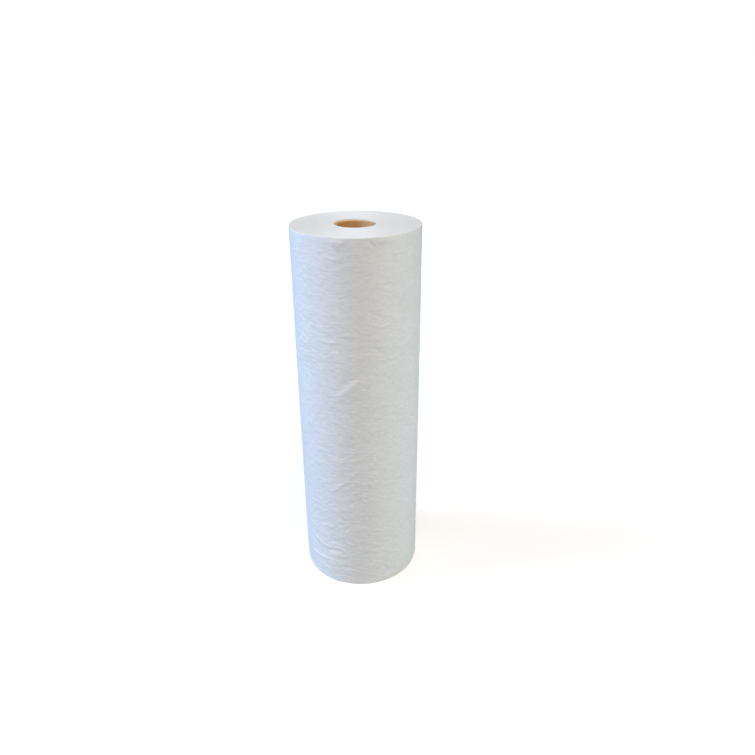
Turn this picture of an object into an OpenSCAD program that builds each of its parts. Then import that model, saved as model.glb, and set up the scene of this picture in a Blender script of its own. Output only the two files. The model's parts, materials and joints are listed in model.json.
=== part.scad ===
// A roll of exam table paper. A long web of smooth white paper is wound on a spiral-wound
// cardboard core. The roll stands on one of its ends, centred on the core's axis.
// The web is one continuous spiral, so its outline steps in at the loose end, and the gaps
// between its turns draw a spiral on each end of the roll.

/* [Paper] */
// Width of the paper web, which is the length of the roll along its axis
web_width = 305; // [150:1:620]
// Diameter of the wound paper
roll_d = 100; // [80:1:160]
// Bevel of the outer rim, where the edges of the last turns have been handled
rim_bevel = 0.4; // [0.2:0.1:1]

/* [Loose end] */
// Height of the cut end of the web above the turn that it lies on
tail_step = 0.4; // [0.1:0.1:1.2]
// Direction of the loose end round the roll, from +X towards +Y
tail_angle = 110; // [0:5:355]

/* [Wound ends] */
// Distance from one line of the spiral to the next
turn_pitch = 2.6; // [1.6:0.1:4]
// Width of a line of the spiral at the face of the roll
gap_width = 0.5; // [0.2:0.1:0.8]
// Depth of a line of the spiral
gap_depth = 0.3; // [0.1:0.1:0.8]

/* [Core] */
// Bore of the core
core_bore = 28.6; // [20:0.1:40]
// Wall of the core
core_wall = 1.6; // [1:0.1:3]
// Distance that each end of the core lies inside the end of the paper
core_recess = 1; // [0.2:0.1:3]
// Plies of board in the wall of the core
core_plies = 3; // [2:1:5]
// Width and depth of the line between two plies on the ends of the core
ply_line = 0.16; // [0.06:0.02:0.18]

/* [Hidden] */
$fn = 96;
// Overlap that lets one shape cut cleanly through another
cut_past = 1;
roll_r = roll_d / 2;
core_r = core_bore / 2 + core_wall;
core_length = web_width - 2 * core_recess;
// Radius of the first line, one pitch outside the core
first_r = core_r + turn_pitch;
// Radius past which no line may reach, so that the outermost turns stay whole
last_r = roll_r - rim_bevel - turn_pitch / 2;
// Whole turns of the spiral that fit between the two
turns = floor((last_r - first_r) / turn_pitch);

// Half of a wound solid, on the +Y side, with its rims bevelled
module half_roll(radius) {
    rotate_extrude(angle = 180)
        polygon([
            [0, 0],
            [radius - rim_bevel, 0],
            [radius, rim_bevel],
            [radius, web_width - rim_bevel],
            [radius - rim_bevel, web_width],
            [0, web_width]
        ]);
}

// Profile of a V-shaped line in a face at z = 0 that looks down
module line_profile(width, depth) {
    slope = depth / (width / 2);
    half_mouth = width / 2 + cut_past / slope;
    polygon([[-half_mouth, -cut_past], [half_mouth, -cut_past], [0, depth]]);
}

// Half turns of the lines between the wound turns, on the +Y side
module half_lines(start_r) {
    rotate_extrude(angle = 180)
        for (turn = [0 : turns - 1])
            translate([start_r + turn * turn_pitch, 0])
                line_profile(gap_width, gap_depth);
}

// Two children become a spiral. The first is centred on the axis and makes the +Y half of each
// turn. The second makes the -Y half, and its centre lies half a turn's growth along +X, so each
// half turn meets the next one exactly.
module spiral_halves(growth) {
    children(0);
    translate([growth / 2, 0, 0])
        rotate([0, 0, 180])
            children(1);
}

// Solid outline of the wound web, which grows by the height of the loose end in its last turn
module wound_outline() {
    spiral_halves(tail_step) {
        half_roll(roll_r);
        half_roll(roll_r + tail_step / 2);
    }
}

// Spiral of lines that the turns draw on the lower end
module spiral_lines() {
    spiral_halves(turn_pitch) {
        half_lines(first_r);
        half_lines(first_r + turn_pitch / 2);
    }
}

// Rings that the edges of the plies draw on the lower end of the core
module ply_lines() {
    rotate_extrude()
        for (ply = [1 : core_plies - 1])
            translate([core_bore / 2 + ply * core_wall / core_plies, 0])
                line_profile(ply_line, ply_line);
}

// Its child on the lower end of a piece, and again, mirrored, on the upper end
module on_both_ends(length) {
    children();
    translate([0, 0, length])
        mirror([0, 0, 1])
            children();
}

module paper() {
    color("white")
        rotate([0, 0, tail_angle])
            difference() {
                wound_outline();
                translate([0, 0, -cut_past])
                    cylinder(r = core_r, h = web_width + 2 * cut_past);
                on_both_ends(web_width)
                    spiral_lines();
            }
}

module core() {
    color("burlywood")
        translate([0, 0, core_recess])
            difference() {
                cylinder(r = core_r, h = core_length);
                translate([0, 0, -cut_past])
                    cylinder(d = core_bore, h = core_length + 2 * cut_past);
                on_both_ends(core_length)
                    ply_lines();
            }
}

paper();
core();
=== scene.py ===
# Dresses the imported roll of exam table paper. The web becomes one closed mesh, with the tension
# wrinkles, creases and loose end of its outer turn and the spiral that its turns draw on both
# ends. The core becomes a spiral-wound board tube. Meshes are worked out in millimetres round the
# core's axis. Angles are in degrees from +X towards +Y, so the camera faces the side at about -90.
import json
import math

import bpy
import numpy as np
from mathutils import Matrix, Vector


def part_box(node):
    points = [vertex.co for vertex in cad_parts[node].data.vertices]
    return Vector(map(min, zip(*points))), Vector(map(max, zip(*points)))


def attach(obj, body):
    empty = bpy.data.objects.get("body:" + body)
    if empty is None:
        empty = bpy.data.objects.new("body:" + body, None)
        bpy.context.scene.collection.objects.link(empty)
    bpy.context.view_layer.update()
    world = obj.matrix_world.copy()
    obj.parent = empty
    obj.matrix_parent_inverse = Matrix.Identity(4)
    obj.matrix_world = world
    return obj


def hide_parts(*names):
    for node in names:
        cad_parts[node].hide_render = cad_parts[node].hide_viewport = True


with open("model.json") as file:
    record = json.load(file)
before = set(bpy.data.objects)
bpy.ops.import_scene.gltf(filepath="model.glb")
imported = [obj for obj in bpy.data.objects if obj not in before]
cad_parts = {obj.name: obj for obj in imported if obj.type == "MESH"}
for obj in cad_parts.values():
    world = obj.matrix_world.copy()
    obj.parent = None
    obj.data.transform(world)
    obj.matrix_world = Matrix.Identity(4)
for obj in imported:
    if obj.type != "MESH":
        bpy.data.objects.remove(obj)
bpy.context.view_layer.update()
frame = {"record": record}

MM = 0.001

# Sizes from the frame
paper_low, paper_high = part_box("paper")
core_low, core_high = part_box("core")
WEB_WIDTH = (paper_high.z - paper_low.z) / MM
CORE_R = (core_high.x - core_low.x) / 2 / MM
CORE_BOTTOM = core_low.z / MM
CORE_TOP = core_high.z / MM
BORE_R = next(m for m in frame["record"]["mounts"] if m["name"] == "core_bore")["dims"]["r_mm"]

# Sizes of the roll that the frame doesn't name
ROLL_R = 50.0
RIM = 0.4
TAIL_STEP = 0.4
TAIL_ANGLE = 110.0
TURN_PITCH = 2.6
LINE_WIDTH = 0.5
LINE_DEPTH = 0.08
ROUND_THE_ROLL = 2 * math.pi * ROLL_R

# Grid of the paper's mesh. Its columns are closer together on the side that faces the camera.
COLUMNS = 200
FRONT_ANGLE = -90.0
FRONT_DENSITY = 0.3
SIDE_ROWS = 372
RIM_ROWS = 3
BORE_ROWS = 5
LAND_ROWS = 1


# Camera, fitted to the roll's outline in the photograph, with its place in metres
IMAGE_PX = 755
FOCAL_PX = 640.6
SENSOR_MM = 36.0
CAMERA_AT = Vector((0.0, -0.4827, 0.4044))
CAMERA_TURN = 1.867
CAMERA_DIP = 25.212
CAMERA_ROLL = -0.356


def make_camera():
    data = bpy.data.cameras.new("camera")
    data.sensor_width = SENSOR_MM
    data.lens = FOCAL_PX / IMAGE_PX * SENSOR_MM
    camera = bpy.data.objects.new("camera", data)
    bpy.context.scene.collection.objects.link(camera)
    camera.matrix_world = (
        Matrix.Translation(CAMERA_AT)
        @ Matrix.Rotation(math.radians(-CAMERA_TURN), 4, "Z")
        @ Matrix.Rotation(math.radians(90 - CAMERA_DIP), 4, "X")
        @ Matrix.Rotation(math.radians(CAMERA_ROLL), 4, "Z")
    )
    bpy.context.scene.camera = camera


# Meshes

def mesh_object(name, points_mm, faces, materials, face_materials):
    """A smooth-shaded object at the origin, from points in millimetres."""
    mesh = bpy.data.meshes.new(name)
    mesh.from_pydata((np.asarray(points_mm) * MM).tolist(), [], faces)
    for material in materials:
        mesh.materials.append(material)
    mesh.polygons.foreach_set("material_index", face_materials)
    mesh.polygons.foreach_set("use_smooth", [True] * len(mesh.polygons))
    mesh.update()
    mesh.validate()
    obj = bpy.data.objects.new(name, mesh)
    bpy.context.scene.collection.objects.link(obj)
    return obj


def zip_rows(left, left_at, right, right_at):
    """Triangles between two chains of vertices, whose places along them both rise."""
    faces = []
    i = 0
    j = 0
    while i < len(left) - 1 or j < len(right) - 1:
        left_is_next = j == len(right) - 1 or (i < len(left) - 1 and left_at[i + 1] <= right_at[j + 1])
        if left_is_next:
            faces.append((left[i], right[j], left[i + 1]))
            i += 1
        else:
            faces.append((left[i], right[j], right[j + 1]))
            j += 1
    return faces


# Noise

def noise_field(seed, rows, columns, spectrum):
    """Random field of unit spread, periodic both ways. spectrum weighs the waves of each field,
    by their numbers of cycles along the rows and along the columns."""
    rng = np.random.default_rng(seed)
    waves = np.fft.fft2(rng.standard_normal((rows, columns)))
    along_rows = np.fft.fftfreq(rows)[:, None]
    along_columns = np.fft.fftfreq(columns)[None, :]
    field = np.fft.ifft2(waves * spectrum(along_rows, along_columns)).real
    return (field - field.mean()) / field.std()


def sampled(field, row, column):
    """Values of a periodic field between its points, at places counted in rows and columns."""
    row_0 = np.floor(row).astype(int)
    column_0 = np.floor(column).astype(int)
    u = row - row_0
    v = column - column_0
    rows, columns = field.shape
    upper = (
        field[row_0 % rows, column_0 % columns] * (1 - v)
        + field[row_0 % rows, (column_0 + 1) % columns] * v
    )
    lower = (
        field[(row_0 + 1) % rows, column_0 % columns] * (1 - v)
        + field[(row_0 + 1) % rows, (column_0 + 1) % columns] * v
    )
    return upper * (1 - u) + lower * u


# Relief of the side

# Spacing of the points of the noise fields
FIELD_STEP = 0.5
# Tension wrinkles: distance between them up the roll, and how far up it stays regular
WRINKLE_SPACING = 3.9
WRINKLE_REACH = 1.3
# Lengths of the short wrinkles and of the long ones, round the roll
SHORT_WRINKLE = 1.3
LONG_WRINKLE = 6.0
# Slopes of the wrinkles half way up, and by what share of that they grow from the upper end to the
# lower one
SHORT_SLOPE = 0.108
SHORT_GROWTH = 0.58
LONG_SLOPE = 0.028
LONG_GROWTH = 1.74
# How much the short wrinkles vary in strength from place to place
STRENGTH_SPREAD = 0.12
# How far the lines of the wrinkles rise and fall round the roll, and the angle where they rise most
LEAN_HEIGHT = 19.0
LEAN_ANGLE = -25.0
# Slow waves of the outer turn
WAVE_LENGTH = 26.0
WAVE_HEIGHT = 0.05
# Share of the side's relief that is left at its rims, and distance over which it comes back
RELIEF_AT_RIM = 0.35
RIM_FADE = 3.0


def wrinkle_spectrum(length):
    """Spectrum of a relief whose slopes up the roll come and go at the spacing of the wrinkles."""

    def spectrum(up, round_):
        cycles_up = np.abs(up) / FIELD_STEP
        cycles_round = round_ / FIELD_STEP
        band = np.exp(-((math.pi * WRINKLE_REACH * (cycles_up - 1 / WRINKLE_SPACING)) ** 2) / 2)
        slope = band * np.exp(-((math.pi * length * cycles_round) ** 2) / 2)
        return np.where(cycles_up > 0.08, slope / np.maximum(cycles_up, 0.08), 0)

    return spectrum


def wrinkle_field(seed, rows, columns, length):
    """Relief in millimetres whose slopes up the roll have unit spread."""
    field = noise_field(seed, rows, columns, wrinkle_spectrum(length))
    slopes = (np.roll(field, -1, axis=0) - field) / FIELD_STEP
    return field / slopes.std()


def wave_spectrum(up, round_):
    return np.exp(-((WAVE_LENGTH / FIELD_STEP) ** 2) * (up**2 + round_**2))


# Creases that the photograph shows: points by angle and height, the width of the upper flank, the
# height of the ridge, or the depth of the groove where it is negative, and how many times wider
# than the upper flank the lower one is
CREASES = [
    ([(-109.6, 182.5), (-103.9, 187.9), (-99.4, 191.6), (-94.1, 195.1), (-86.0, 200.2)], 1.4, 0.68, 5.5),
    ([(-118, 181.0), (-112.4, 181.8), (-107.5, 183.4)], 0.9, -0.38, 1.0),
    ([(-104.5, 183.4), (-99, 185.5)], 0.8, -0.25, 1.0),
    ([(-98.6, 187.9), (-93.3, 189.7)], 0.8, -0.25, 1.0),
    ([(-78, 239.6), (-67.4, 239.4), (-60.8, 241.0), (-51, 243.5)], 0.9, 0.45, 1.0),
    ([(-58, 229.5), (-46.2, 228.0), (-37.0, 228.4)], 0.9, 0.36, 1.0),
    ([(-72, 213.7), (-61.7, 213.0), (-56.5, 213.6), (-50, 215.5)], 0.9, 0.38, 1.0),
    ([(-83, 224.8), (-76.5, 223.7), (-72.9, 221.7), (-66.5, 217.0)], 0.75, -0.5, 3.5),
    ([(-125, 229.4), (-118.9, 227.6), (-112.3, 227.6), (-103.5, 228.9)], 0.9, 0.36, 1.3),
    ([(-103.5, 232.0), (-98.1, 234.5), (-94.5, 235.5)], 0.9, 0.28, 1.2),
    ([(-117, 292.8), (-111.2, 290.2), (-106.2, 289.5), (-100, 291.5)], 0.9, 0.3, 1.4),
    ([(-63, 289.2), (-55.1, 290.2), (-47.0, 290.7)], 0.8, -0.36, 1.0),
    ([(-68, 269.7), (-63.7, 270.6), (-59.5, 271.0)], 0.9, -0.45, 1.2),
    ([(-89, 188.4), (-85.6, 189.9), (-82.5, 189.1)], 0.8, 0.28, 1.0),
    ([(-119, 95.2), (-110.8, 101.0), (-106.7, 104.6), (-100.5, 108.6)], 1.0, 0.38, 2.0),
    ([(-101.5, 108.4), (-95, 107.0), (-88.8, 105.2), (-81.4, 104.7), (-72, 106.2)], 1.0, 0.26, 1.8),
    ([(-100, 95.0), (-95.5, 96.2), (-92, 96.4)], 0.9, 0.5, 1.0),
    ([(-130, 57.7), (-123.6, 58.5), (-116.5, 59.1)], 1.0, 0.4, 1.2),
    ([(-100, 65.7), (-94.4, 64.7), (-89, 65.6)], 0.9, -0.36, 1.0),
    ([(-81.0, 304.4), (-78.5, 301.5), (-75.5, 298.2)], 0.8, -0.85, 1.0),
    ([(-74, 300.6), (-70.8, 299.1), (-67, 298.2)], 0.8, -0.4, 1.0),
    ([(-111.5, 302.6), (-104.8, 302.4), (-98.5, 302.6)], 1.2, 0.8, 3.0),
    ([(-73, 302.9), (-65, 302.7), (-56, 302.9)], 1.1, 0.45, 3.0),
    ([(-143, 39.4), (-136, 37.2), (-130.3, 35.5), (-123.0, 34.4)], 1.0, 0.95, 1.5),
    ([(-126.5, 31.4), (-120.2, 33.0), (-113.5, 34.2)], 1.2, -0.5, 1.4),
    ([(-119, 37.4), (-112.3, 36.2), (-106, 34.8)], 1.0, 0.5, 1.2),
    ([(-122.5, 28.3), (-116.9, 29.9), (-110.5, 31.2)], 1.1, 0.5, 1.3),
    ([(-151, 20.2), (-141.7, 20.5), (-135.2, 20.8), (-125.5, 21.3)], 0.85, 0.88, 1.5),
    ([(-127, 21.0), (-119, 22.0), (-112.0, 23.2)], 0.9, 0.42, 1.3),
    ([(-125.3, 17.6), (-119.7, 18.6), (-113.1, 20.0)], 1.0, 0.35, 1.0),
    ([(-113, 16.1), (-105.5, 18.8), (-98.4, 21.3)], 1.1, -0.26, 1.5),
    ([(-105.5, 16.8), (-99.5, 15.3), (-92.5, 13.8)], 1.1, 0.26, 1.8),
    ([(-99, 9.4), (-89.6, 8.1), (-78.5, 5.7)], 1.1, -0.3, 1.0),
    ([(-161, 52.8), (-150.4, 51.4), (-143, 48.8)], 1.1, 0.45, 1.2),
    ([(-161, 32.6), (-148.4, 31.5), (-141, 29.8)], 1.1, 0.45, 1.2),
]
# Shallow dents: angle, height, half width round the roll, half height, and depth
DENTS = [
    (-135, 28, 13, 8, 0.35),
    (-150, 3, 17, 6, 0.45),
    (-108, 46, 8, 5, 0.1),
    (-62, 146, 20, 9, 0.08),
    (-91, 236, 3.5, 1.5, 0.25),
]


def crease_relief(arc, height, path, width, ridge, spread):
    """Ridge along a path on the unrolled side, which ends in a taper."""
    nodes = np.array([(math.radians(angle) * ROLL_R, z) for angle, z in path])
    lengths = np.hypot(*np.diff(nodes, axis=0).T)
    along_start = np.concatenate([[0], np.cumsum(lengths)])
    nearest = np.full(arc.shape, np.inf)
    along = np.zeros(arc.shape)
    side = np.zeros(arc.shape)
    for start, end, length, before in zip(nodes, nodes[1:], lengths, along_start):
        step = (end - start) / length
        away_arc = arc - start[0]
        away_height = height - start[1]
        t = np.clip(away_arc * step[0] + away_height * step[1], 0, length)
        off_arc = away_arc - t * step[0]
        off_height = away_height - t * step[1]
        distance = np.hypot(off_arc, off_height)
        closer = distance < nearest
        nearest = np.where(closer, distance, nearest)
        along = np.where(closer, before + t, along)
        side = np.where(closer, off_height, side)
    taper = np.sin(np.pi * np.clip(along / along_start[-1], 0.02, 0.98)) ** 0.5
    flank = np.where(side < 0, width * spread, width)
    return ridge * taper * np.exp(-((nearest / flank) ** 2))


def side_relief(arc, height):
    """How far the outer turn stands out from its true radius. arc runs from the angle 0."""
    field_rows = int(WEB_WIDTH / FIELD_STEP * 1.3)
    field_columns = round(ROUND_THE_ROLL / FIELD_STEP)
    row = (height - LEAN_HEIGHT * np.sin(arc / ROLL_R - math.radians(LEAN_ANGLE))) / FIELD_STEP
    column = arc / ROUND_THE_ROLL * field_columns
    short = sampled(wrinkle_field(11, field_rows, field_columns, SHORT_WRINKLE), row, column)
    long = sampled(wrinkle_field(12, field_rows, field_columns, LONG_WRINKLE), row, column)
    strength = sampled(noise_field(13, field_rows, field_columns, wave_spectrum), row, column)
    waves = sampled(noise_field(14, field_rows, field_columns, wave_spectrum), row, column)
    lower = 0.5 - height / WEB_WIDTH
    relief = SHORT_SLOPE * short * (1 + SHORT_GROWTH * lower) * (1 + STRENGTH_SPREAD * strength)
    relief += LONG_SLOPE * long * (1 + LONG_GROWTH * lower)
    relief += WAVE_HEIGHT * waves
    for crease in CREASES:
        relief += crease_relief(arc, height, *crease)
    for angle, z, half_width, half_height, depth in DENTS:
        across = (arc - math.radians(angle) * ROLL_R) / half_width
        relief -= depth * np.exp(-(across**2) - ((height - z) / half_height) ** 2)
    return relief


# Wound paper

# How far each column near the loose end lies from its edge, and how far the edge lifts and how wide
# a strip along it does
EDGE_COLUMNS = [7.0, 5.0, 3.4, 2.2, 1.2, 0.5, 0.0]
EDGE_LIFT = 0.35
LIFTED_STRIP = 3.0
EDGE_UNDERCUT = 0.6
# Distance from an end over which the lift fades in
LIFT_FADE = 2.0
# Width of the seam in the two ends, where the turns of the mesh's spiral meet
END_SEAM = 0.4


def growth(turn):
    """Share of a turn's growth that the spiral has made, at a share of a turn past the loose end.
    The first half turn is a circle round the axis, and the second has its centre aside of it."""
    return np.where(turn > 0.5, (1 + np.cos(2 * np.pi * turn)) / 2, 0.0)


def column_turns():
    """Places of the mesh's columns, as shares of a turn past the loose end."""
    edge = 1 - np.array(EDGE_COLUMNS) / ROUND_THE_ROLL
    places = np.linspace(0, 1, 2001)
    from_front = 2 * np.pi * places + math.radians(TAIL_ANGLE - FRONT_ANGLE)
    shares = places + FRONT_DENSITY / (2 * np.pi) * (np.sin(from_front) - np.sin(from_front[0]))
    even = np.interp(np.arange(COLUMNS) / COLUMNS, shares, places)
    return np.concatenate([even[even < edge[0] - 0.5 / COLUMNS], edge])


def end_rows():
    """Rows of one end from the core outwards: radius at the loose end, and share of a line's depth."""
    first = CORE_R + TURN_PITCH
    last = ROLL_R - RIM - TURN_PITCH / 2
    lines = int((last - first) / TURN_PITCH)
    radii = [CORE_R, CORE_R + TURN_PITCH / 3, CORE_R + TURN_PITCH * 2 / 3]
    depths = [0.0, 0.0, 0.0]
    for line in range(lines):
        middle = first + line * TURN_PITCH
        radii += [middle - LINE_WIDTH / 2, middle, middle + LINE_WIDTH / 2]
        depths += [0.0, 1.0, 0.0]
        land = TURN_PITCH - LINE_WIDTH
        for row in range(LAND_ROWS):
            radii.append(middle + LINE_WIDTH / 2 + land * (row + 1) / (LAND_ROWS + 1))
            depths.append(0.0)
    while radii[-1] + TURN_PITCH / 2 < ROLL_R - RIM:
        radii.append(radii[-1] + TURN_PITCH / 2)
        depths.append(0.0)
    last_line = first + (lines - 1) * TURN_PITCH
    grows = np.interp(
        radii, [CORE_R, first, last_line, ROLL_R - RIM], [0, TURN_PITCH, TURN_PITCH, TAIL_STEP]
    )
    return np.array(radii), grows, np.array(depths)


# Waves of an end of the roll, how unevenly its turns stand, and what share of both is left at the core
END_WAVE_LENGTH = 17.0
END_WAVE = 0.04
TURN_UNEVENNESS = 0.02
END_RELIEF_AT_CORE = 0.3
# Line where the turns are pressed in across the upper end: its two ends, half width and depth
STREAK_FROM = (19.8, -18.4)
STREAK_TO = (26.9, -44.4)
STREAK_WIDTH = 1.1
STREAK_DEPTH = 0.2


def end_wave_spectrum(up, across):
    return np.exp(-((END_WAVE_LENGTH / FIELD_STEP) ** 2) * (up**2 + across**2))


def spiral_spectrum(along, row):
    return np.exp(-((along * 60) ** 2)) * np.ones_like(row)


def streak_relief(x, y):
    """How far the upper end is pressed in along its streak."""
    step = np.subtract(STREAK_TO, STREAK_FROM)
    length = np.hypot(*step)
    away = np.array([x - STREAK_FROM[0], y - STREAK_FROM[1]])
    t = np.clip((away[0] * step[0] + away[1] * step[1]) / length**2, 0, 1)
    distance = np.hypot(away[0] - t * step[0], away[1] - t * step[1])
    return STREAK_DEPTH * np.exp(-((distance / STREAK_WIDTH) ** 2))


def end_relief(seed, radius, angle, line_depth, turn, row_index):
    """How far an end of the roll lies inside its true plane."""
    size = round(2.4 * ROLL_R / FIELD_STEP)
    waves = noise_field(seed, size, size, end_wave_spectrum)
    x = radius * np.cos(angle) / FIELD_STEP
    y = radius * np.sin(angle) / FIELD_STEP
    bands = noise_field(seed + 1, 4000, 16, spiral_spectrum)
    turns_in = (radius - CORE_R) / TURN_PITCH - growth(turn) + turn
    uneven = sampled(bands, turns_in * 97, row_index % (LAND_ROWS + 3) + np.zeros_like(turns_in))
    relief = END_WAVE * sampled(waves, x, y) + TURN_UNEVENNESS * uneven
    return LINE_DEPTH * line_depth + np.maximum(relief + END_WAVE + TURN_UNEVENNESS, 0)


def make_wound_paper(face_material, end_material):
    turns = column_turns()
    angles = np.radians(TAIL_ANGLE) + 2 * np.pi * turns
    radii, grows, depths = end_rows()
    end_count = len(radii)

    # The profile is a closed loop: upper end, rim, side, rim, lower end, bore
    rim_turn = np.linspace(0, np.pi / 2, RIM_ROWS + 1)[:-1]
    rim_in = RIM * (1 - np.sin(rim_turn))
    rim_down = RIM * (1 - np.cos(rim_turn))
    side_down = np.linspace(RIM, WEB_WIDTH - RIM, SIDE_ROWS)
    bore_up = np.linspace(0, WEB_WIDTH, BORE_ROWS + 2)[1:-1]
    base_r = np.concatenate([
        radii, ROLL_R - rim_in, np.full(SIDE_ROWS, ROLL_R), ROLL_R - rim_in[::-1],
        radii[::-1], np.full(BORE_ROWS, CORE_R),
    ])
    grow_r = np.concatenate([
        grows, np.full(SIDE_ROWS + 2 * RIM_ROWS, TAIL_STEP), grows[::-1], np.zeros(BORE_ROWS),
    ])
    base_z = np.concatenate([
        np.full(end_count, WEB_WIDTH), WEB_WIDTH - rim_down, WEB_WIDTH - side_down, rim_down[::-1],
        np.zeros(end_count), bore_up,
    ])
    rows = len(base_r)
    rim_1 = end_count
    side_1 = rim_1 + RIM_ROWS
    rim_2 = side_1 + SIDE_ROWS
    end_2 = rim_2 + RIM_ROWS
    bore = end_2 + end_count

    radius = base_r[:, None] + grow_r[:, None] * growth(turns)[None, :]
    height = np.repeat(base_z[:, None], len(turns), axis=1)
    angle = np.repeat(angles[None, :], rows, axis=0)

    # Side and rims
    outside = slice(rim_1, end_2)
    arc = (np.degrees(angle[outside]) + 180) % 360 - 180
    relief = side_relief(np.radians(arc) * ROLL_R, height[outside])
    from_end = np.minimum(height[outside], WEB_WIDTH - height[outside])
    at_rim = np.clip(from_end / RIM_FADE, RELIEF_AT_RIM, 1)
    radius[outside] += relief * at_rim

    # The edge of the loose end lifts, more in some places than in others
    before_edge = (1 - turns) * ROUND_THE_ROLL
    lift = np.exp(-((before_edge / LIFTED_STRIP) ** 2))
    uneven = 0.75 + 0.25 * np.sin(height[outside] / 19 + 1) + 0.2 * np.sin(height[outside] / 7.3)
    near_end = np.clip(from_end / LIFT_FADE, 0, 1)
    radius[outside] += EDGE_LIFT * lift[None, :] * uneven * near_end

    # The turn below begins a little way under that edge, and a little way past it on the two ends
    shift = np.full(rows, END_SEAM)
    shift[outside] = END_SEAM + (-EDGE_UNDERCUT - END_SEAM) * near_end[:, 0]
    angle[:, 0] += shift / ROLL_R

    # Ends
    row_index = np.arange(end_count)[:, None]
    for first_row, order, seed, outwards in ((0, 1, 21, 1), (end_2, -1, 31, -1)):
        part = slice(first_row, first_row + end_count)
        inside = end_relief(
            seed, radius[part], angle[part], depths[::order][:, None], turns[None, :], row_index[::order]
        )
        if outwards == 1:
            inside += streak_relief(
                radius[part] * np.cos(angle[part]), radius[part] * np.sin(angle[part])
            )
        fade = np.interp(
            base_r[part],
            [CORE_R, CORE_R + 1, ROLL_R - RIM - 1.5, ROLL_R - RIM],
            [END_RELIEF_AT_CORE, 1, 1, 0],
        )
        height[part] -= outwards * inside * fade[:, None]

    points = np.stack([radius * np.cos(angle), radius * np.sin(angle), height], axis=-1).reshape(-1, 3)
    number = np.arange(rows * len(turns)).reshape(rows, len(turns))
    faces = []
    slots = []
    for row in range(rows):
        below = (row + 1) % rows
        on_side = rim_1 <= row < end_2 - 1
        for column in range(len(turns) - 1):
            faces.append((
                number[row, column], number[below, column],
                number[below, column + 1], number[row, column + 1],
            ))
            slots.append(0 if on_side else 1)
    # The last strip closes the turn. On the ends its rows don't meet in pairs, so they are zipped.
    last = number[:, -1]
    first = number[:, 0]
    for start, stop, sign in ((0, rim_1, 1), (end_2, bore, -1)):
        span = slice(start, stop)
        strip = zip_rows(last[span], sign * radius[span, -1], first[span], sign * radius[span, 0])
        faces += [tuple(reversed(face)) for face in strip]
        slots += [1] * len(strip)
    for row in [*range(rim_1 - 1, end_2), *range(bore - 1, rows)]:
        below = (row + 1) % rows
        faces.append((last[row], last[below], first[below], first[row]))
        slots.append(0 if rim_1 <= row < end_2 - 1 else 1)
    return mesh_object("wound_paper", points, faces, [face_material, end_material], slots)


# Core

PLY_WIDTH = 50.0
PLIES = 3
PLY_LINE = 0.16
SEAM_WIDTH = 0.8
SEAM_DEPTH = 0.25
FRAY = 0.06
CORE_COLUMNS = 72
CORE_ROWS = 240


def make_core(material):
    """A closed tube whose columns wind round as the inner ply does, so one of them is its seam."""
    slope = math.asin(PLY_WIDTH / (2 * math.pi * BORE_R))
    lead = PLY_WIDTH / math.cos(slope)
    half_seam = SEAM_WIDTH / math.sin(slope) / 2
    seam_columns = np.array([-1.5, -1.0, -0.6, 0.0, 0.6, 1.0, 1.5]) * half_seam / BORE_R
    seam_depths = np.array([0.0, 0.1, 1.0, 1.0, 1.0, 0.1, 0.0]) * SEAM_DEPTH
    even = np.arange(CORE_COLUMNS) / CORE_COLUMNS * 2 * np.pi - np.pi
    away = np.abs(even) > seam_columns[-1] * 1.2
    column_angle = np.concatenate([even[away & (even < 0)], seam_columns, even[away & (even > 0)]])
    column_depth = np.concatenate([
        np.zeros((away & (even < 0)).sum()), seam_depths, np.zeros((away & (even > 0)).sum()),
    ])

    wall = CORE_R - BORE_R
    end_radii = [BORE_R + 0.12]
    end_depths = [0.0]
    for ply in range(1, PLIES):
        middle = BORE_R + wall * ply / PLIES
        end_radii += [middle - PLY_LINE / 2, middle, middle + PLY_LINE / 2]
        end_depths += [0.0, PLY_LINE, 0.0]
    end_radii.append(CORE_R - 0.08)
    end_depths.append(0.0)
    end_radii = np.array(end_radii)
    end_depths = np.array(end_depths)
    inner_z = np.linspace(CORE_TOP - 0.1, CORE_BOTTOM + 0.1, CORE_ROWS)
    outer_z = np.linspace(CORE_BOTTOM + 0.1, CORE_TOP - 0.1, CORE_ROWS // 4)
    base_r = np.concatenate([
        np.full(len(inner_z), BORE_R), end_radii, np.full(len(outer_z), CORE_R), end_radii[::-1],
    ])
    base_z = np.concatenate([
        inner_z, CORE_BOTTOM + end_depths, outer_z, CORE_TOP - end_depths[::-1],
    ])
    on_bore = np.concatenate([np.ones(len(inner_z)), np.zeros(len(base_r) - len(inner_z))])
    angle = column_angle[None, :] + 2 * np.pi * (base_z[:, None] - CORE_BOTTOM) / lead
    radius = base_r[:, None] + on_bore[:, None] * column_depth[None, :]
    height = np.repeat(base_z[:, None], len(column_angle), axis=1)
    rng = np.random.default_rng(41)
    fray = rng.uniform(0, FRAY, (len(base_r), len(column_angle)))
    on_end = (np.abs(height - CORE_TOP) < 0.2) | (np.abs(height - CORE_BOTTOM) < 0.2)
    height = np.where(on_end & (height > WEB_WIDTH / 2), height - fray, height)
    height = np.where(on_end & (height < WEB_WIDTH / 2), height + fray, height)

    points = np.stack([radius * np.cos(angle), radius * np.sin(angle), height], axis=-1).reshape(-1, 3)
    rows, columns = height.shape
    number = np.arange(rows * columns).reshape(rows, columns)
    faces = []
    for row in range(rows):
        below = (row + 1) % rows
        for column in range(columns):
            beside = (column + 1) % columns
            faces.append((
                number[row, beside], number[below, beside], number[below, column], number[row, column],
            ))
    return mesh_object("board_core", points, faces, [material], [0] * len(faces))


# Materials

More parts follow.
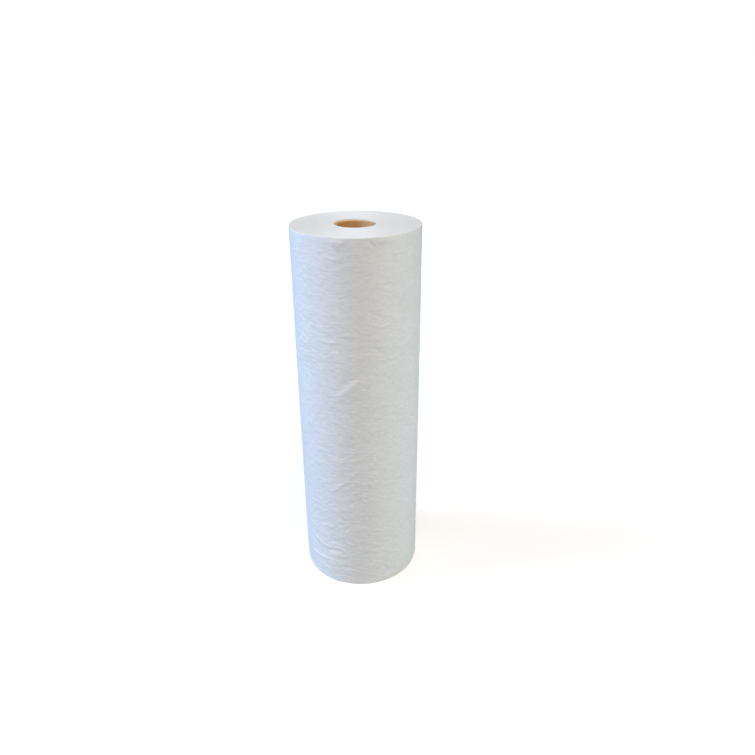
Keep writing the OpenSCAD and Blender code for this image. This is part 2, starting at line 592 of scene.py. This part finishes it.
class Nodes:
    """The nodes of one material, with short calls to add and join them."""

    def __init__(self, name):
        self.material = bpy.data.materials.new(name)
        self.material.use_nodes = True
        self.tree = self.material.node_tree
        self.shader = self.tree.nodes["Principled BSDF"]
        self.place = self.add("ShaderNodeTexCoord").outputs["Object"]

    def add(self, kind, values=(), **settings):
        node = self.tree.nodes.new(kind)
        for name, value in settings.items():
            setattr(node, name, value)
        for socket, value in dict(values).items():
            if isinstance(value, bpy.types.NodeSocket):
                self.tree.links.new(value, node.inputs[socket])
            else:
                node.inputs[socket].default_value = value
        return node

    def scaled(self, scale):
        """The place on the object, with each direction stretched by its own scale."""
        return self.add("ShaderNodeVectorMath", {0: self.place, 1: scale}, operation="MULTIPLY").outputs[0]

    def noise(self, scale, detail=2.0, roughness=0.5, place=None):
        where = self.scaled(scale) if place is None else place
        return self.add(
            "ShaderNodeTexNoise",
            {"Vector": where, "Scale": 1.0, "Detail": detail, "Roughness": roughness},
        ).outputs["Fac"]

    def math(self, operation, *values):
        return self.add(
            "ShaderNodeMath", dict(enumerate(values)), operation=operation
        ).outputs[0]

    def mapped(self, value, low, high, to_low, to_high):
        return self.add(
            "ShaderNodeMapRange",
            {"Value": value, "From Min": low, "From Max": high, "To Min": to_low, "To Max": to_high},
        ).outputs[0]

    def blend(self, factor, colour_a, colour_b):
        node = self.tree.nodes.new("ShaderNodeMix")
        node.data_type = "RGBA"
        sockets = {0: factor, 6: colour_a, 7: colour_b}
        for index, value in sockets.items():
            if isinstance(value, bpy.types.NodeSocket):
                self.tree.links.new(value, node.inputs[index])
            else:
                node.inputs[index].default_value = value
        return node.outputs[2]

    def bump(self, height, distance, below=None):
        values = {"Height": height, "Distance": distance, "Strength": 1.0}
        if below is not None:
            values["Normal"] = below
        return self.add("ShaderNodeBump", values).outputs[0]

    def finish(self, colour, roughness, normal):
        self.tree.links.new(colour, self.shader.inputs["Base Color"])
        self.tree.links.new(roughness, self.shader.inputs["Roughness"])
        self.tree.links.new(normal, self.shader.inputs["Normal"])
        return self.material


def paper_face_material():
    """Smooth white paper with cloudy formation, fine fibres and streaks round the roll, and painted shade
    in the valleys of its fine wrinkles.
    """
    nodes = Nodes("paper_face")
    nodes.shader.inputs["Specular IOR Level"].default_value = 0.5
    clouds = nodes.noise((45, 45, 70), detail=3)
    fibres = nodes.noise((900, 900, 1500), detail=3, roughness=0.6)
    streaks = nodes.noise((70, 70, 900), detail=2)
    fine = nodes.noise((220, 220, 600), detail=1)
    texture = nodes.math("ADD", nodes.math("MULTIPLY", clouds, 0.3), nodes.math("MULTIPLY", fibres, 0.2))
    # The fine wrinkles' noise also sets the colour, darker where their bump lies low: painted shade in
    # their valleys.
    tone_with_painted_shade = nodes.math("ADD", texture, nodes.math("MULTIPLY", fine, 0.5))
    colour = nodes.blend(
        nodes.mapped(tone_with_painted_shade, 0.3, 0.7, 0.0, 1.0), (0.758, 0.768, 0.758, 1), (0.858, 0.868, 0.856, 1)
    )
    roughness = nodes.mapped(streaks, 0.3, 0.7, 0.42, 0.54)
    normal = nodes.bump(streaks, 0.00004)
    normal = nodes.bump(fine, 0.00025, normal)
    normal = nodes.bump(fibres, 0.00001, normal)
    return nodes.finish(colour, roughness, normal)


def paper_end_material():
    """Cut edges of the web, side by side, as fine rings that waver a little, with painted shade in the
    lines between the rings.
    """
    nodes = Nodes("paper_edges")
    nodes.shader.inputs["Specular IOR Level"].default_value = 0.5
    nodes.shader.inputs["Anisotropic"].default_value = 0.8
    rings = nodes.add("ShaderNodeTangent", direction_type="RADIAL", axis="Z").outputs[0]
    nodes.tree.links.new(rings, nodes.shader.inputs["Tangent"])
    flat = nodes.scaled((1, 1, 0))
    radius = nodes.add("ShaderNodeVectorMath", {0: flat}, operation="LENGTH").outputs["Value"]
    waver = nodes.math("MULTIPLY", nodes.noise((60, 60, 60)), 0.0006)
    ring = nodes.math("ADD", radius, waver)
    edges = nodes.add(
        "ShaderNodeTexNoise",
        {"W": nodes.math("MULTIPLY", ring, 3500.0), "Scale": 1.0, "Detail": 3.0, "Roughness": 0.6},
        noise_dimensions="1D",
    ).outputs["Fac"]
    clouds = nodes.noise((35, 35, 35), detail=2)
    # The rings' noise also sets the colour, darker where their bump lies low: painted shade in the lines
    # between the turns.
    tone_with_painted_shade = nodes.math("ADD", nodes.math("MULTIPLY", clouds, 0.5), nodes.math("MULTIPLY", edges, 0.5))
    colour = nodes.blend(
        nodes.mapped(tone_with_painted_shade, 0.3, 0.7, 0.0, 1.0), (0.775, 0.770, 0.732, 1), (0.855, 0.850, 0.808, 1)
    )
    roughness = nodes.mapped(edges, 0.3, 0.7, 0.4, 0.5)
    normal = nodes.bump(edges, 0.00004)
    return nodes.finish(colour, roughness, normal)


def board_material():
    """Tan kraft board with long fibres, darker flecks and a slight sheen."""
    nodes = Nodes("kraft_board")
    nodes.shader.inputs["Specular IOR Level"].default_value = 0.3
    clouds = nodes.noise((90, 90, 60), detail=3)
    fibres = nodes.noise((500, 500, 900), detail=4, roughness=0.65)
    flecks = nodes.mapped(nodes.noise((1400, 1400, 700), detail=2), 0.62, 0.74, 0.0, 1.0)
    base = nodes.blend(clouds, (0.59, 0.345, 0.130, 1), (0.69, 0.43, 0.180, 1))
    grained = nodes.blend(nodes.mapped(fibres, 0.35, 0.7, 0.0, 0.5), base, (0.74, 0.50, 0.26, 1))
    colour = nodes.blend(nodes.math("MULTIPLY", flecks, 0.5), grained, (0.28, 0.16, 0.07, 1))
    roughness = nodes.mapped(fibres, 0.3, 0.7, 0.6, 0.8)
    normal = nodes.bump(fibres, 0.00005)
    return nodes.finish(colour, roughness, normal)


# Stage and light

def make_floor():
    size = 4.0
    mesh = bpy.data.meshes.new("floor")
    corners = [(-size, -size, 0), (size, -size, 0), (size, size, 0), (-size, size, 0)]
    mesh.from_pydata(corners, [], [(0, 1, 2, 3)])
    floor = bpy.data.objects.new("floor", mesh)
    bpy.context.scene.collection.objects.link(floor)

    material = bpy.data.materials.new("floor")
    material.use_nodes = True
    tree = material.node_tree
    tree.nodes.clear()
    output = tree.nodes.new("ShaderNodeOutputMaterial")
    matte = tree.nodes.new("ShaderNodeBsdfDiffuse")
    matte.inputs["Color"].default_value = FLOOR_COLOUR
    glow = tree.nodes.new("ShaderNodeEmission")
    glow.inputs["Color"].default_value = (1, 1, 1, 1)
    place = tree.nodes.new("ShaderNodeTexCoord")
    away = tree.nodes.new("ShaderNodeVectorMath")
    away.operation = "LENGTH"
    near_to_far = tree.nodes.new("ShaderNodeMapRange")
    near_to_far.interpolation_type = "SMOOTHSTEP"
    near_to_far.inputs["From Min"].default_value = FLOOR_NEAR
    near_to_far.inputs["From Max"].default_value = FLOOR_FAR
    near_to_far.inputs["To Min"].default_value = FLOOR_GLOW
    near_to_far.inputs["To Max"].default_value = 1.0
    path = tree.nodes.new("ShaderNodeLightPath")
    strength = tree.nodes.new("ShaderNodeMath")
    strength.operation = "MULTIPLY"
    both = tree.nodes.new("ShaderNodeAddShader")
    tree.links.new(place.outputs["Object"], away.inputs[0])
    tree.links.new(away.outputs["Value"], near_to_far.inputs["Value"])
    tree.links.new(path.outputs["Is Camera Ray"], strength.inputs[0])
    tree.links.new(near_to_far.outputs[0], strength.inputs[1])
    tree.links.new(strength.outputs[0], glow.inputs["Strength"])
    tree.links.new(matte.outputs[0], both.inputs[0])
    tree.links.new(glow.outputs[0], both.inputs[1])
    tree.links.new(both.outputs[0], output.inputs["Surface"])
    mesh.materials.append(material)


# The floor, and what it adds for the camera alone, so that it shows white and keeps the shadow.
# Far from the object that is enough to make it white by itself.
FLOOR_COLOUR = (0.5, 0.5, 0.5, 1)
FLOOR_GLOW = 0.6
FLOOR_NEAR = 0.25
FLOOR_FAR = 1.0
# Light from all round
WORLD_COLOUR = (1.0, 1.0, 1.0, 1)
WORLD_STRENGTH = 0.05
# Lamps: name, place and aim in metres, size, watts and colour
LAMPS = [
    ("left", (-4.33, 0.0, 2.66), (0, 0, 0.16), 2.4, 222.0, (0.48, 0.68, 1.0)),
    ("left_front", (-3.37, -3.03, 2.27), (0, 0, 0.16), 2.4, 68.0, (0.52, 0.69, 1.0)),
    ("front_high", (0.09, -2.5, 4.49), (0, 0, 0.16), 2.4, 106.0, (1.0, 0.7, 0.33)),
    ("right_front", (3.37, -3.03, 2.27), (0, 0, 0.16), 2.4, 27.0, (1.0, 0.7, 0.34)),
    ("right", (4.33, 0.0, 2.66), (0, 0, 0.16), 2.4, 44.0, (0.98, 0.95, 0.88)),
    ("back", (0.0, 1.4, 0.95), (0, 0, 0.3), 0.9, 5.7, (0.7, 0.84, 1.0)),
    ("low_right", (1.0, -0.35, 0.22), (0.7, -0.25, -0.42), 0.8, 6.5, (0.5, 0.77, 1.0)),
]


def make_lights():
    world = bpy.data.worlds.new("studio")
    bpy.context.scene.world = world
    world.use_nodes = True
    tree = world.node_tree
    tree.nodes.clear()
    output = tree.nodes.new("ShaderNodeOutputWorld")
    path = tree.nodes.new("ShaderNodeLightPath")
    round_about = tree.nodes.new("ShaderNodeBackground")
    round_about.inputs["Color"].default_value = WORLD_COLOUR
    round_about.inputs["Strength"].default_value = WORLD_STRENGTH
    behind = tree.nodes.new("ShaderNodeBackground")
    behind.inputs["Color"].default_value = (1, 1, 1, 1)
    choose = tree.nodes.new("ShaderNodeMixShader")
    tree.links.new(path.outputs["Is Camera Ray"], choose.inputs[0])
    tree.links.new(round_about.outputs[0], choose.inputs[1])
    tree.links.new(behind.outputs[0], choose.inputs[2])
    tree.links.new(choose.outputs[0], output.inputs["Surface"])
    for name, place, aim, size, watts, colour in LAMPS:
        data = bpy.data.lights.new(name, "AREA")
        data.shape = "DISK"
        data.size = size
        data.energy = watts
        data.color = colour
        lamp = bpy.data.objects.new(name, data)
        bpy.context.scene.collection.objects.link(lamp)
        lamp.location = place
        lamp.rotation_euler = (Vector(aim) - Vector(place)).to_track_quat("-Z", "Y").to_euler()


make_camera()
bpy.context.scene.view_settings.view_transform = "Standard"
make_floor()
make_lights()

paper = make_wound_paper(paper_face_material(), paper_end_material())
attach(paper, "root")
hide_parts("paper")

core = make_core(board_material())
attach(core, "root")
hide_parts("core")
